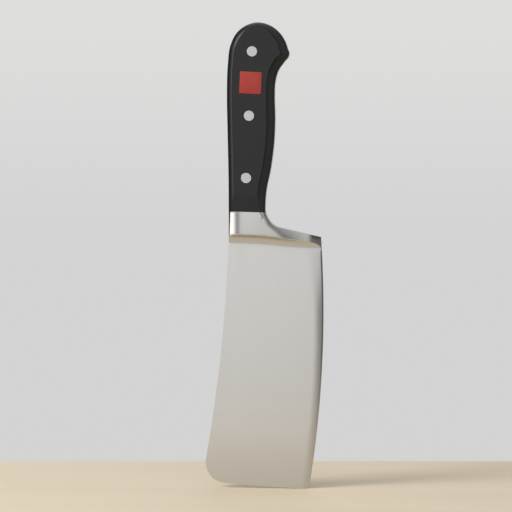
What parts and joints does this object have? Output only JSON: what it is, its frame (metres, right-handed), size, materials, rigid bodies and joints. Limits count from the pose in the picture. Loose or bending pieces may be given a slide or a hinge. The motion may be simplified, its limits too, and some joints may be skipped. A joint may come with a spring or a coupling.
{
  "type": "kitchen cleaver",
  "caption": "Forged kitchen cleaver: a broad blade with bolster and full tang in one piece, two moulded scales held by flush rivets, and a plain square inlay.",
  "frame": {"origin": "bottom centre of the box, on the surface that the toe of the blade stands on", "axes": "+Z from the front end of the blade up to the butt of the handle, +X from the spine to the cutting edge, +Y away from the side with the inlay"},
  "size_m": [0.075, 0.017, 0.295],
  "materials": {
    "blade_steel": "satin ground, bolster polished",
    "scale_black": "moulded, fine satin",
    "rivet_steel": "ground flush with the scale",
    "inlay_red": "plain, smooth"
  },
  "bodies": {
    "root": {"blade_with_tang": "blade_steel", "scale_inlay_side": "scale_black", "scale_plain_side": "scale_black", "inlay": "inlay_red", "rivet_post_neck": "rivet_steel", "rivet_post_middle": "rivet_steel", "rivet_post_butt": "rivet_steel", "rivet_sleeve_neck": "rivet_steel", "rivet_sleeve_middle": "rivet_steel", "rivet_sleeve_butt": "rivet_steel"}
  },
  "joints": []
}
